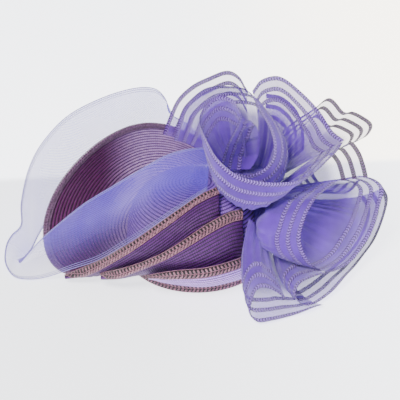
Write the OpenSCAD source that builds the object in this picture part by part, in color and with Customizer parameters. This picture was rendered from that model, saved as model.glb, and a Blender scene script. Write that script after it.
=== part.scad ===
// Fascinator headpiece: straw crown and swirled brim, sheer crin ribbon, striped organza flower.
// Millimetres. Origin at the centre of the head opening, on the plane the hem stands on, +Z up.

/* [Crown] */
// Outer radius of the crown at its hem
crown_r = 72; // [71:0.5:73]
// Height of the crown above the hem
crown_h = 82; // [78:1:86]
// Fullness of the dome, 2 is an ellipse
crown_fullness = 3.1; // [2.8:0.1:3.4]
// Thickness of the sewn straw
straw_t = 2; // [1.6:0.1:2.4]

/* [Sweatband] */
// Inner radius of the sweatband, the true head opening
opening_r = 68; // [67:0.5:68.5]
// Height of the sweatband
sweatband_h = 16; // [12:1:18]

/* [Sheets] */
// Thickness of the brim and pleat sheets
pleat_t = 1.6; // [1.2:0.1:1.8]
// Thickness of the ribbon and crin sheets
ribbon_t = 1.2; // [1:0.1:1.4]
// Thickness of a braid trim
braid_t = 1.8; // [1.4:0.1:2]
// Width of a braid trim
braid_w = 10; // [8:0.5:11]

/* [Comb] */
// Length of a comb tooth
tooth_l = 34; // [28:1:38]
// Number of comb teeth
tooth_count = 17; // [11:2:19]

/* [Clip] */
// Length of the hair clip
clip_l = 46; // [44:1:48]
// Width of the hair clip
clip_w = 8; // [8:0.5:9]
// Thickness of the clip's sheet steel
steel_t = 0.8; // [0.6:0.1:0.8]
// Radius of the clip's hinge pin
pin_r = 1; // [0.8:0.1:1]

/* [Hidden] */

straw_colour = [0.49, 0.36, 0.60];
lilac_colour = [0.66, 0.55, 0.82];
braid_colour = [0.62, 0.48, 0.58];
organza_colour = [0.47, 0.42, 0.74];
crin_colour = [0.80, 0.80, 0.93];
steel_colour = [0.78, 0.78, 0.80];

round_facets = 96;
gap = 0.3;

// ---- curves and sheets ----

// Catmull-Rom point between b and c, with neighbours a and d
function between(a, b, c, d, t) =
    0.5 * (2 * b + (c - a) * t + (2 * a - 5 * b + 4 * c - d) * t * t + (3 * b - a - 3 * c + d) * t * t * t);

// Point at u (0 to 1) on the smooth path through all the points
function along(path, u) =
    let (
        last = len(path) - 1,
        span = min(floor(u * last), last - 1),
        b = path[span],
        c = path[span + 1],
        a = span > 0 ? path[span - 1] : 2 * b - c,
        d = span + 2 <= last ? path[span + 2] : 2 * c - b
    )
    between(a, b, c, d, u * last - span);

// Path halfway between two edges, pushed out by a fixed step
function halfway(edge_a, edge_b, push) = [for (i = [0:len(edge_a) - 1]) (edge_a[i] + edge_b[i]) / 2 + push];

// Point on the sheet through three paths: u runs along the paths, v from the first path to the last
function on_sheet(paths, u, v) =
    along(paths[0], u) * (1 - v) * (1 - 2 * v)
    + along(paths[1], u) * 4 * v * (1 - v)
    + along(paths[2], u) * v * (2 * v - 1);

function unit(a) = a / max(norm(a), 0.001);

// Direction square to the sheet at u, v
function sheet_normal(paths, u, v) =
    let (
        e = 0.02,
        du = on_sheet(paths, min(u + e, 1), v) - on_sheet(paths, max(u - e, 0), v),
        dv = on_sheet(paths, u, min(v + e, 1)) - on_sheet(paths, u, max(v - e, 0))
    )
    unit(cross(du, dv));

// Closed skin over a grid of rows on the one side and the same grid on the other side
module closed_grid(front, back) {
    rows = len(front);
    cols = len(front[0]);
    size = rows * cols;
    function at(i, j) = i * cols + j;
    points = concat([for (row = front) each row], [for (row = back) each row]);
    faces = concat(
        [for (i = [0:rows - 2], j = [0:cols - 2]) each [
            [at(i, j), at(i, j + 1), at(i + 1, j + 1)],
            [at(i, j), at(i + 1, j + 1), at(i + 1, j)],
            [size + at(i, j), size + at(i + 1, j + 1), size + at(i, j + 1)],
            [size + at(i, j), size + at(i + 1, j), size + at(i + 1, j + 1)]
        ]],
        [for (i = [0:rows - 2]) each [
            [at(i, 0), at(i + 1, 0), size + at(i + 1, 0)],
            [at(i, 0), size + at(i + 1, 0), size + at(i, 0)],
            [at(i + 1, cols - 1), at(i, cols - 1), size + at(i, cols - 1)],
            [at(i + 1, cols - 1), size + at(i, cols - 1), size + at(i + 1, cols - 1)]
        ]],
        [for (j = [0:cols - 2]) each [
            [at(0, j + 1), at(0, j), size + at(0, j)],
            [at(0, j + 1), size + at(0, j), size + at(0, j + 1)],
            [at(rows - 1, j), at(rows - 1, j + 1), size + at(rows - 1, j + 1)],
            [at(rows - 1, j), size + at(rows - 1, j + 1), size + at(rows - 1, j)]
        ]]
    );
    polyhedron(points, faces, convexity = 6);
}

// Sheet of even thickness through three paths, its middle shifted sideways by lift, between v0 and v1
module sheet(paths, steps, cells, thick, lift = 0, v0 = 0, v1 = 1) {
    function skin(side) = [for (i = [0:steps]) [for (j = [0:cells])
        let (u = i / steps, v = v0 + (v1 - v0) * j / cells)
        on_sheet(paths, u, v) + sheet_normal(paths, u, v) * (lift + side * thick / 2)]];
    closed_grid(skin(1), skin(-1));
}

// Share of a sheet's width that is braid_w wide, measured across its middle
function braid_share(paths) =
    braid_w / (norm(paths[0][3] - paths[1][3]) + norm(paths[1][3] - paths[2][3]));

// ---- crown ----

// Half outline of the dome, from the hem to the top
function dome_points(r, h, n) =
    [for (i = [0:n]) let (a = 90 * i / n)
        [r * pow(cos(a), 2 / crown_fullness), h * pow(sin(a), 2 / crown_fullness)]];

module dome(r, h) {
    rotate_extrude($fn = round_facets) polygon(concat([[0, 0]], dome_points(r, h, 14)));
}

module crown_shell() {
    color(lilac_colour) difference() {
        dome(crown_r, crown_h);
        translate([0, 0, -0.01]) dome(crown_r - straw_t, crown_h - straw_t);
    }
}

sweatband_t = 1.4;
sweatband_z = 0.8;

module sweatband() {
    color(straw_colour) translate([0, 0, sweatband_z]) difference() {
        cylinder(r = opening_r + sweatband_t, h = sweatband_h, $fn = round_facets);
        translate([0, 0, -1]) cylinder(r = opening_r, h = sweatband_h + 2, $fn = round_facets);
    }
}

hem_h = 10;
hem_t = 2.6;

module hem_braid() {
    color(braid_colour) rotate_extrude($fn = round_facets)
        translate([crown_r + gap, 0]) polygon([
            [0, 0], [hem_t - 0.6, 0], [hem_t, 0.8], [hem_t, hem_h - 0.8], [hem_t - 0.6, hem_h], [0, hem_h]
        ]);
}

// ---- brim ----

// Outer edge of the brim, from the front left, round the left and the back, to the right
brim_edge = [
    [-120, -49, 3], [-135, -41, 3], [-147, -27, 5], [-155, -8, 12], [-156, 12, 29], [-146, 36, 50],
    [-126, 58, 70], [-98, 78, 87], [-66, 94, 95], [-34, 104, 90], [0, 110, 72], [38, 106, 48],
    [70, 88, 26], [88, 56, 12], [92, 22, 8]
];
brim_foot_z = 12;
brim_foot_start = 218;
brim_foot_end = 14;
brim_foot_r = crown_r + pleat_t / 2 + gap;
brim_last = len(brim_edge) - 1;
brim_foot = [for (i = [0:brim_last])
    let (a = brim_foot_start + (brim_foot_end - brim_foot_start) * i / brim_last)
    [brim_foot_r * cos(a), brim_foot_r * sin(a), brim_foot_z]];

// The brim is bowl shaped: its middle hangs lower and further out where the edge is high
brim_belly = [for (i = [0:brim_last])
    let (middle = (brim_edge[i] + brim_foot[i]) / 2, sag = 0.2 * brim_edge[i][2])
    middle + unit([middle[0], middle[1], 0]) * sag - [0, 0, min(sag, middle[2] - 3)]];

brim = [brim_edge, brim_belly, brim_foot];
brim_steps = 42;

module brim_shell() {
    color(straw_colour) sheet(brim, brim_steps, 6, pleat_t);
}

// Frame on the brim's edge: point, outward direction in the sheet, and direction square to the sheet
function edge_out(u) = unit(on_sheet(brim, u, 0) - on_sheet(brim, u, 0.06));
function edge_point(u, out, side) =
    on_sheet(brim, u, 0) + edge_out(u) * out + sheet_normal(brim, u, 0.02) * side;

binding_w = 6;
binding_half = 2;
slot_half = pleat_t / 2 + gap / 2;
wire_r = 0.6;
binding_outline = [
    [-binding_w, binding_half], [1.2, binding_half], [2.4, 1.1], [2.4, -1.1], [1.2, -binding_half],
    [-binding_w, -binding_half], [-binding_w, -slot_half], [1.6, -slot_half], [1.6, slot_half],
    [-binding_w, slot_half]
];

// Solid swept along the brim's edge from an outline of [out, side] pairs
module edge_sweep(outline) {
    sides = len(outline);
    points = [for (i = [0:brim_steps]) each [for (p = outline) edge_point(i / brim_steps, p[0], p[1])]];
    walls = [for (i = [0:brim_steps - 1], j = [0:sides - 1])
        let (k = (j + 1) % sides, a = i * sides, b = (i + 1) * sides)
        each [[a + j, a + k, b + k], [a + j, b + k, b + j]]];
    first = [for (j = [sides - 1:-1:0]) j];
    last = [for (j = [0:sides - 1]) brim_steps * sides + j];
    polyhedron(points, concat(walls, [first, last]), convexity = 6);
}

module brim_binding() {
    color(braid_colour) edge_sweep(binding_outline);
}

module brim_wire() {
    color(steel_colour) edge_sweep([for (a = [0:60:300]) [0.85 + wire_r * cos(a), -wire_r * sin(a)]]);
}

// ---- pleats and their braids ----

upper_top = [[-129, -54, 6], [-94, -60, 28], [-62, -65, 53], [-30, -57, 74], [0, -39, 87], [13, -29, 89],
    [22, -21, 88]];
upper_foot = [[-126, -53, 3], [-96, -56, 8], [-66, -62, 20], [-36, -69, 38], [-8, -68, 56], [10, -60, 66],
    [22, -49, 71]];
upper = [upper_top, halfway(upper_top, upper_foot, [-1, -5, 2]), upper_foot];

middle_top = [
    [-93, -61, 14], [-73, -71, 27], [-50, -76, 40], [-29, -78, 53], [-9, -73, 65], [10, -62, 73],
    [30, -49, 77], [43, -39, 74]
];
middle_foot = [
    [-92, -61, 9], [-76, -63, 10], [-58, -62, 13], [-36, -67, 20], [-14, -74, 24], [12, -75, 26],
    [34, -67, 28], [45, -59, 30]
];
middle = [middle_top, halfway(middle_top, middle_foot, [0, -5, 0]), middle_foot];

lower_top = [[-46, -80, 27], [-22, -84, 35], [10, -84, 39], [40, -72, 41], [56, -55, 42]];
lower_foot = [[-46, -63, 11], [-27, -72, 11], [9, -77, 11], [40, -66, 11], [58, -51, 11]];
lower = [lower_top, halfway(lower_top, lower_foot, [0, -5, 1]), lower_foot];

pleat_steps = 24;
trim_lift = -(pleat_t / 2 + braid_t / 2 + gap);

module pleat_upper() {
    color(straw_colour) sheet(upper, pleat_steps, 5, pleat_t);
}

module pleat_middle() {
    color(straw_colour) sheet(middle, pleat_steps, 5, pleat_t);
}

module pleat_lower() {
    color(lilac_colour) sheet(lower, pleat_steps, 5, pleat_t);
}

module braid_trim(paths) {
    color(braid_colour) sheet(paths, pleat_steps, 2, braid_t, lift = trim_lift, v1 = braid_share(paths));
}

module braid_trim_upper() {
    braid_trim(upper);
}

module braid_trim_middle() {
    braid_trim(middle);
}

module braid_trim_lower() {
    braid_trim(lower);
}

// ---- crin ribbon: front band, fold at the left tip, and the loop behind the brim ----

crin_low = [
    [10, -24, 87], [-14, -43, 80], [-42, -56, 65], [-70, -58, 45], [-96, -57, 27], [-122, -53, 14],
    [-148, -53, 4], [-166, -54, 2], [-181, -50, 3], [-191, -36, 9], [-192, -20, 18], [-188, -8, 23],
    [-180, 4, 28], [-181, 20, 44], [-175, 44, 69], [-162, 66, 89], [-137, 88, 109], [-103, 106, 121],
    [-69, 116, 128], [-46, 118, 127], [-34, 117, 115], [-30, 118, 98], [-12, 121, 84]
];
crin_high = [
    [14, 28, 104], [-7, 22, 106], [-30, 20, 100], [-57, 17, 85], [-86, 14, 67], [-115, 8, 50],
    [-142, -4, 32], [-159, -14, 20], [-170, -24, 11], [-177, -30, 5], [-179, -26, 3], [-175, -18, 3],
    [-170, -4, 4], [-166, 18, 6], [-158, 42, 12], [-144, 64, 22], [-122, 84, 36], [-98, 100, 46],
    [-66, 110, 54], [-40, 114, 56], [-18, 116, 54], [2, 119, 50], [22, 122, 46]
];
crin = [crin_low, halfway(crin_low, crin_high, [0, 0, 3]), crin_high];

module crin_ribbon() {
    color(crin_colour) sheet(crin, 66, 4, ribbon_t);
}

// ---- flower ----

// Each petal is a length of striped ribbon: its striped edge, its belly, and its gathered root.
heart_rim = [[41, -7, 158], [35, -9, 143], [29, -10, 127], [24, -11, 113], [21, -12, 102]];
heart_belly = [[44, -2, 152], [46, 2, 138], [45, 4, 121], [42, 2, 107], [36, -3, 97]];
heart_root = [[49, 0, 150], [57, 5, 140], [61, 6, 124], [59, 3, 108], [52, -4, 98]];

inner_rim = [
    [41, -3, 160], [34, 11, 165], [20, 18, 166], [7, 15, 156], [3, 4, 147], [9, -14, 135], [21, -32, 124],
    [39, -44, 114], [62, -48, 110], [84, -44, 107], [98, -38, 106], [118, -22, 110], [132, -8, 117],
    [141, 3, 124]
];
inner_belly = [
    [47, 3, 119], [37, 9, 122], [27, 12, 124], [19, 8, 120], [13, 0, 114], [13, -16, 106], [20, -34, 94],
    [34, -45, 84], [52, -48, 80], [74, -42, 84], [90, -28, 90], [104, -14, 97], [112, -3, 103], [114, 3, 107]
];
inner_root = [
    [50, 3, 91], [47, 6, 90], [45, 6, 89], [42, 4, 87], [40, 0, 86], [41, -6, 84], [43, -11, 82],
    [47, -15, 80], [54, -19, 77], [64, -19, 75], [71, -14, 75], [76, -8, 76], [79, -5, 77], [80, -2, 78]
];

outer_rim = [
    [-24, 60, 95], [-14, 57, 133], [6, 44, 160], [29, 35, 169], [48, 26, 167], [60, 8, 155], [70, -12, 140],
    [72, -25, 125], [62, -36, 117], [47, -39, 112], [36, -35, 112]
];
outer_belly = [
    [4, 38, 96], [10, 44, 114], [26, 40, 132], [46, 36, 138], [64, 30, 136], [78, 18, 130], [87, 0, 117],
    [86, -12, 101], [73, -26, 92], [58, -32, 90], [46, -29, 92]
];
outer_root = [
    [36, 9, 83], [38, 13, 84], [43, 17, 86], [50, 19, 87], [60, 18, 88], [67, 11, 84], [70, 2, 80],
    [68, -8, 78], [62, -14, 79], [54, -16, 82], [48, -12, 84]
];

arch_rim = [[-36, 72, 96], [-30, 76, 113], [-20, 76, 135], [-6, 73, 151], [10, 69, 162], [29, 63, 172],
    [42, 53, 170], [50, 43, 160]];
arch_root = [
    [36, 18, 79], [38, 20, 80], [40, 21, 82], [44, 22, 83], [47, 23, 84], [51, 24, 85], [56, 23, 86],
    [60, 23, 86]
];

top_right_rim = [[143, 7, 124], [132, 15, 130], [122, 24, 143], [113, 34, 151], [102, 43, 159], [88, 51, 168],
    [77, 55, 170], [63, 58, 164], [55, 55, 154]];
top_right_root = [
    [79, 10, 79], [78, 13, 80], [75, 16, 81], [72, 19, 82], [69, 21, 83], [66, 23, 84], [62, 24, 84],
    [59, 24, 85], [57, 25, 84]
];

ripple_rim = [[70, 27, 104], [83, 33, 118], [99, 39, 129], [117, 41, 143], [131, 42, 152], [144, 31, 143],
    [153, 36, 141], [163, 31, 138], [171, 21, 134], [166, 11, 127], [155, 8, 122]];
ripple_root = [
    [71, 27, 76], [72, 26, 75], [74, 25, 74], [76, 24, 73], [77, 23, 73], [79, 21, 72], [80, 19, 72],
    [81, 17, 71], [82, 15, 71], [83, 13, 71], [83, 11, 72]
];

drop_rim = [[146, 17, 112], [150, 4, 124], [157, -5, 118], [161, -12, 109], [164, -20, 99]];
drop_root = [[83, 11, 73], [82, 5, 74], [82, 0, 74], [82, -3, 73], [81, -6, 71]];

loop_rim = [[134, -20, 94], [117, -36, 89], [107, -46, 80], [101, -56, 69], [98, -64, 56], [103, -69, 41],
    [115, -70, 26], [132, -61, 17], [151, -46, 17], [166, -31, 27], [175, -20, 38], [184, 0, 54],
    [187, 8, 68], [178, 14, 76], [163, 11, 81], [148, 0, 84]];
loop_belly = [
    [112, -14, 86], [94, -30, 83], [76, -44, 78], [60, -56, 69], [58, -61, 58], [62, -63, 48],
    [74, -60, 40], [90, -54, 35], [110, -41, 35], [126, -24, 44], [132, -12, 53], [134, -2, 60],
    [134, 6, 68], [130, 10, 72], [122, 9, 75], [114, 2, 77]
];
loop_root = [
    [81, -8, 72], [79, -11, 71], [77, -14, 70], [75, -17, 67], [74, -20, 63], [74, -21, 58], [76, -20, 54],
    [79, -17, 51], [82, -13, 51], [84, -8, 53], [85, -3, 56], [86, 2, 60], [86, 6, 64],
    [86, 8, 66], [85, 7, 68], [84, 3, 69]
];

curl_rim = [
    [189, 18, 64], [194, 14, 55], [192, 8, 43], [186, -4, 30], [175, -21, 19], [158, -42, 12],
    [141, -66, 9], [125, -84, 6], [113, -95, 4], [101, -101, 7], [93, -98, 16], [96, -92, 25],
    [108, -85, 28], [124, -77, 26]
];
curl_belly = [
    [146, 12, 54], [148, 4, 44], [144, -6, 34], [136, -16, 25], [127, -28, 18], [117, -40, 13],
    [106, -52, 10], [96, -62, 9], [88, -70, 10], [80, -73, 17], [80, -70, 26], [88, -64, 30],
    [98, -59, 28], [108, -54, 24]
];
curl_root = [
    [85, 9, 59], [85, 5, 56], [83, 1, 53], [81, -4, 50], [82, -14, 46], [82, -18, 43], [80, -24, 40],
    [77, -28, 40], [75, -31, 41], [73, -33, 42], [73, -35, 45], [76, -33, 47], [80, -30, 46], [82, -26, 44]
];

fold_rim = [
    [120, -97, 5], [104, -105, 4], [86, -112, 3], [70, -119, 3], [56, -122, 4], [49, -118, 12],
    [52, -107, 20], [58, -99, 25], [67, -96, 23], [76, -96, 17], [84, -99, 11]
];
fold_belly = [
    [98, -76, 4], [86, -80, 6], [73, -84, 12], [60, -89, 17], [48, -92, 26], [42, -90, 38], [44, -86, 46],
    [52, -82, 46], [60, -79, 42], [66, -77, 37], [72, -76, 32]
];
fold_root = [
    [72, -43, 28], [69, -44, 31], [66, -44, 35], [60, -44, 42], [55, -44, 52], [50, -46, 62],
    [50, -50, 70], [55, -50, 64], [60, -50, 57], [64, -50, 50], [68, -48, 43]
];

rear_upper_rim = [[70, 66, 146], [88, 74, 138], [104, 78, 120], [112, 74, 98], [112, 66, 80]];
rear_upper_root = [[62, 28, 80], [66, 28, 78], [70, 27, 77], [73, 26, 74], [76, 24, 72]];

rear_lower_rim = [[118, 60, 66], [130, 48, 50], [144, 36, 46], [158, 25, 56], [166, 17, 74]];
rear_lower_root = [[79, 23, 69], [81, 21, 65], [83, 17, 64], [84, 14, 64], [85, 11, 65]];

petal_cells = 4;

module petal(rim, belly, root) {
    color(organza_colour) sheet([rim, belly, root], 2 * (len(rim) - 1), petal_cells, ribbon_t);
}

module rose_heart() {
    petal(heart_rim, heart_belly, heart_root);
}

module rose_inner_petal() {
    petal(inner_rim, inner_belly, inner_root);
}

module rose_outer_petal() {
    petal(outer_rim, outer_belly, outer_root);
}

module back_arch() {
    petal(arch_rim, halfway(arch_rim, arch_root, [-4, 8, 4]), arch_root);
}

module top_right_petal() {
    petal(top_right_rim, halfway(top_right_rim, top_right_root, [5, -3, 5]), top_right_root);
}

module far_right_ripple() {
    petal(ripple_rim, halfway(ripple_rim, ripple_root, [3, 8, 0]), ripple_root);
}

module right_drop() {
    petal(drop_rim, halfway(drop_rim, drop_root, [2, -4, 4]), drop_root);
}

module lower_right_loop() {
    petal(loop_rim, loop_belly, loop_root);
}

module lower_curl() {
    petal(curl_rim, curl_belly, curl_root);
}

module bottom_fold() {
    petal(fold_rim, fold_belly, fold_root);
}

module rear_petal_upper() {
    petal(rear_upper_rim, halfway(rear_upper_rim, rear_upper_root, [2, 6, 0]), rear_upper_root);
}

module rear_petal_lower() {
    petal(rear_lower_rim, halfway(rear_lower_rim, rear_lower_root, [2, 2, -3]), rear_lower_root);
}

// Padded core on the crown's right shoulder: a large lobe under the rose and a small one below it. The
// ribbon roots are sewn into it.
core_at = [56, 6, 62];
core_r = 30;
core_low_at = [69, -21, 52];
core_low_r = 17;

module flower_base() {
    color(organza_colour) difference() {
        union() {
            translate(core_at) sphere(r = core_r, $fn = 64);
            translate(core_low_at) sphere(r = core_low_r, $fn = 64);
        }
        translate([0, 0, -0.01]) dome(crown_r + gap, crown_h + gap);
    }
}

// ---- comb, sewn inside the front of the crown ----

comb_z = 20;
comb_h = 4;
comb_outer = crown_r - straw_t - 0.9;
comb_inner = comb_outer - 2.2;
comb_half_angle = 29;
tooth_w = 1.3;
tooth_tip = 0.65;
comb_reach = 60;

module comb() {
    color([0.86, 0.86, 0.90]) translate([0, 0, comb_z]) union() {
        rotate([0, 0, 270 - comb_half_angle])
            rotate_extrude(angle = 2 * comb_half_angle, $fn = round_facets)
                translate([comb_inner, 0]) square([comb_outer - comb_inner, comb_h]);
        for (i = [0:tooth_count - 1]) comb_tooth((i / (tooth_count - 1) - 0.5) * comb_reach);
    }
}

module comb_tooth(x) {
    root_y = -sqrt(comb_inner * comb_inner - x * x) - 0.8;
    translate([x - tooth_w / 2, root_y, comb_h / 2 - 0.8]) cube([tooth_w, tooth_l - tooth_tip, 1.6]);
    translate([x, root_y + tooth_l - tooth_tip, comb_h / 2 - 0.8]) cylinder(r = tooth_tip, h = 1.6, $fn = 24);
}

stitch_r = 0.3;

// One thread loop, in a plane through the crown's axis
module stitch(radius, angle, z, loop_r) {
    rotate([0, 0, angle]) translate([radius, 0, z]) rotate([90, 0, 0])
        rotate_extrude($fn = 24) translate([loop_r, 0]) circle(r = stitch_r, $fn = 16);
}

module comb_stitches() {
    color(straw_colour) for (a = [-26, -13, 0, 13, 26])
        stitch(comb_outer - 0.4, 270 + a, comb_z + comb_h / 2, 2.9);
}

// ---- sprung hair clip, sewn inside the back of the crown ----

clip_z = 25;
clip_y = 64;
pin_x = -4;
pin_y = clip_y - 3.6;
ear_t = 0.8;
hub_r = 2.3;
run_gap = 0.05;
jaw_half = clip_w / 2 - ear_t - gap;

// Flat plate standing on a path in plan, steel_t thick and centred on clip_z
module plate(points, half_w) {
    translate([0, 0, clip_z - half_w]) linear_extrude(2 * half_w) polygon(points);
}

module clip_base() {
    color(steel_colour) union() {
        plate([
            [-clip_l / 2, clip_y - steel_t / 2], [clip_l / 2, clip_y - steel_t / 2],
            [clip_l / 2, clip_y + steel_t / 2], [-clip_l / 2, clip_y + steel_t / 2]
        ], clip_w / 2);
        for (side = [-1, 1]) clip_ear(clip_z + side * (clip_w / 2 - ear_t / 2), clip_y, pin_r);
    }
}

// Ear from a plate at height plate_y to a hub round the pin, bored for it
module clip_ear(z, plate_y, bore_r) {
    translate([0, 0, z - ear_t / 2]) difference() {
        union() {
            translate([pin_x, pin_y, 0]) cylinder(r = hub_r, h = ear_t, $fn = 48);
            translate([pin_x - hub_r, min(plate_y, pin_y), 0]) cube([2 * hub_r, abs(plate_y - pin_y), ear_t]);
        }
        translate([pin_x, pin_y, -1]) cylinder(r = bore_r, h = ear_t + 2, $fn = 48);
    }
}

jaw_y = pin_y - 2.8;
jaw_tip_y = clip_y - 1.1;
jaw_tail_y = pin_y - 8.4;

module clip_jaw() {
    color(steel_colour) union() {
        plate([
            [pin_x - hub_r, jaw_y - steel_t / 2], [pin_x + hub_r, jaw_y - steel_t / 2],
            [clip_l / 2, jaw_tip_y - steel_t / 2], [clip_l / 2, jaw_tip_y + steel_t / 2],
            [pin_x + hub_r, jaw_y + steel_t / 2], [pin_x - hub_r, jaw_y + steel_t / 2],
            [-clip_l / 2, jaw_tail_y + steel_t / 2], [-clip_l / 2, jaw_tail_y - steel_t / 2]
        ], jaw_half);
        for (side = [-1, 1]) clip_ear(clip_z + side * (jaw_half - ear_t / 2), jaw_y, pin_r + run_gap);
    }
}

module clip_pin() {
    color(steel_colour) translate([pin_x, pin_y, clip_z]) union() {
        cylinder(r = pin_r, h = clip_w + 0.2, center = true, $fn = 48);
        for (side = [-1, 1]) translate([0, 0, side * (clip_w / 2 + 0.35)])
            cylinder(r = pin_r + 0.5, h = 0.5, center = true, $fn = 48);
    }
}

coil_r = 1.65;
coil_wire_r = 0.35;
coil_turns = 4;
coil_h = 2 * coil_wire_r * coil_turns;

// Torsion spring: close turns round the pin, and one leg that bears on the base plate
module clip_spring() {
    color(steel_colour) union() {
        translate([pin_x, pin_y, clip_z - coil_h / 2]) difference() {
            cylinder(r = coil_r + coil_wire_r, h = coil_h, $fn = 48);
            translate([0, 0, -1]) cylinder(r = coil_r - coil_wire_r, h = coil_h + 2, $fn = 48);
        }
        translate([pin_x, pin_y + coil_r, clip_z]) rotate([0, -90, 0]) rotate([-5, 0, 0])
            cylinder(r = coil_wire_r, h = 11, $fn = 24);
    }
}

module clip_stitches() {
    color(straw_colour) for (x = [-20, 20])
        stitch(norm([x, clip_y]) + 1.1, atan2(clip_y, x), clip_z - 2, 2.2);
}

crown_shell();
sweatband();
hem_braid();
brim_shell();
brim_binding();
brim_wire();
pleat_upper();
pleat_middle();
pleat_lower();
braid_trim_upper();
braid_trim_middle();
braid_trim_lower();
crin_ribbon();
flower_base();
rose_heart();
rose_inner_petal();
rose_outer_petal();
back_arch();
top_right_petal();
far_right_ripple();
right_drop();
lower_right_loop();
lower_curl();
bottom_fold();
rear_petal_upper();
rear_petal_lower();
comb();
comb_stitches();
clip_base();
clip_jaw();
clip_pin();
clip_spring();
clip_stitches();
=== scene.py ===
"""Fascinator headpiece: the looks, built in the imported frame. Design points are in millimetres."""

import math

import bpy
import numpy as np
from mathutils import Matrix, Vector


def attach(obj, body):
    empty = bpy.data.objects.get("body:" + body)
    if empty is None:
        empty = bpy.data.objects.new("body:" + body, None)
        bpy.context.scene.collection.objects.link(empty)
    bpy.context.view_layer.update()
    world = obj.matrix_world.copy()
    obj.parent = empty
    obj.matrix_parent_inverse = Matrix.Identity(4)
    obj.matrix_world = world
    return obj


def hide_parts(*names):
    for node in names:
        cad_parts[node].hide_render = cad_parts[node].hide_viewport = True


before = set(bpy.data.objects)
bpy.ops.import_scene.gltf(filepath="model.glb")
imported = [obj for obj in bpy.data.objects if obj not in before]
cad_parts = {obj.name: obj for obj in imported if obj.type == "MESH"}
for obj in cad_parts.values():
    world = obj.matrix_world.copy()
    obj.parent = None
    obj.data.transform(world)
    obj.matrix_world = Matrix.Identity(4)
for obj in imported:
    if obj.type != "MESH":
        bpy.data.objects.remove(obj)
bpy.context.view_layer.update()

MM = 0.001
BODY = "headpiece"

# ---------------------------------------------------------------- design points, as in the CAD

CROWN_R, CROWN_H, FULLNESS, STRAW_T = 72.0, 82.0, 3.1, 2.0
HEM_H, GAP = 10.0, 0.3
PLEAT_T = 1.6
BRAID_W = 10.0

brim_edge = [
    [-120, -49, 3], [-135, -41, 3], [-147, -27, 5], [-155, -8, 12], [-156, 12, 29], [-146, 36, 50],
    [-126, 58, 70], [-98, 78, 87], [-66, 94, 95], [-34, 104, 90], [0, 110, 72], [38, 106, 48],
    [70, 88, 26], [88, 56, 12], [92, 22, 8],
]
BRIM_FOOT_Z, BRIM_FOOT_START, BRIM_FOOT_END = 12.0, 218.0, 14.0

upper_top = [
    [-129, -54, 6], [-94, -60, 28], [-62, -65, 53], [-30, -57, 74], [0, -39, 87], [13, -29, 89],
    [22, -21, 88]
]
upper_foot = [
    [-126, -53, 3], [-96, -56, 8], [-66, -62, 20], [-36, -69, 38], [-8, -68, 56], [10, -60, 66],
    [22, -49, 71]
]
middle_top = [
    [-93, -61, 14], [-73, -71, 27], [-50, -76, 40], [-29, -78, 53], [-9, -73, 65], [10, -62, 73],
    [30, -49, 77], [43, -39, 74]
]
middle_foot = [
    [-92, -61, 9], [-76, -63, 10], [-58, -62, 13], [-36, -67, 20], [-14, -74, 24], [12, -75, 26],
    [34, -67, 28], [45, -59, 30]
]
lower_top = [[-46, -80, 27], [-22, -84, 35], [10, -84, 39], [40, -72, 41], [56, -55, 42]]
lower_foot = [[-46, -63, 11], [-27, -72, 11], [9, -77, 11], [40, -66, 11], [58, -51, 11]]

crin_low = [
    [10, -24, 87], [-14, -43, 80], [-42, -56, 65], [-70, -58, 45], [-96, -57, 27], [-122, -53, 14],
    [-148, -53, 4], [-166, -54, 2], [-181, -50, 3], [-191, -36, 9], [-192, -20, 18], [-188, -8, 23],
    [-180, 4, 28], [-181, 20, 44], [-175, 44, 69], [-162, 66, 89], [-137, 88, 109], [-103, 106, 121],
    [-69, 116, 128], [-46, 118, 127], [-34, 117, 115], [-30, 118, 98], [-12, 121, 84]
]
crin_high = [
    [14, 28, 104], [-7, 22, 106], [-30, 20, 100], [-57, 17, 85], [-86, 14, 67], [-115, 8, 50],
    [-142, -4, 32], [-159, -14, 20], [-170, -24, 11], [-177, -30, 5], [-179, -26, 3], [-175, -18, 3],
    [-170, -4, 4], [-166, 18, 6], [-158, 42, 12], [-144, 64, 22], [-122, 84, 36], [-98, 100, 46],
    [-66, 110, 54], [-40, 114, 56], [-18, 116, 54], [2, 119, 50], [22, 122, 46],
]

heart_rim = [[41, -7, 158], [35, -9, 143], [29, -10, 127], [24, -11, 113], [21, -12, 102]]
heart_belly = [[44, -2, 152], [46, 2, 138], [45, 4, 121], [42, 2, 107], [36, -3, 97]]
heart_root = [[49, 0, 150], [57, 5, 140], [61, 6, 124], [59, 3, 108], [52, -4, 98]]

inner_rim = [
    [41, -3, 160], [34, 11, 165], [20, 18, 166], [7, 15, 156], [3, 4, 147], [9, -14, 135], [21, -32, 124],
    [39, -44, 114], [62, -48, 110], [84, -44, 107], [98, -38, 106], [118, -22, 110], [132, -8, 117],
    [141, 3, 124]
]
inner_belly = [
    [47, 3, 119], [37, 9, 122], [27, 12, 124], [19, 8, 120], [13, 0, 114], [13, -16, 106], [20, -34, 94],
    [34, -45, 84], [52, -48, 80], [74, -42, 84], [90, -28, 90], [104, -14, 97], [112, -3, 103], [114, 3, 107],
]
inner_root = [
    [50, 3, 91], [47, 6, 90], [45, 6, 89], [42, 4, 87], [40, 0, 86], [41, -6, 84], [43, -11, 82],
    [47, -15, 80], [54, -19, 77], [64, -19, 75], [71, -14, 75], [76, -8, 76], [79, -5, 77], [80, -2, 78]
]

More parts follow.
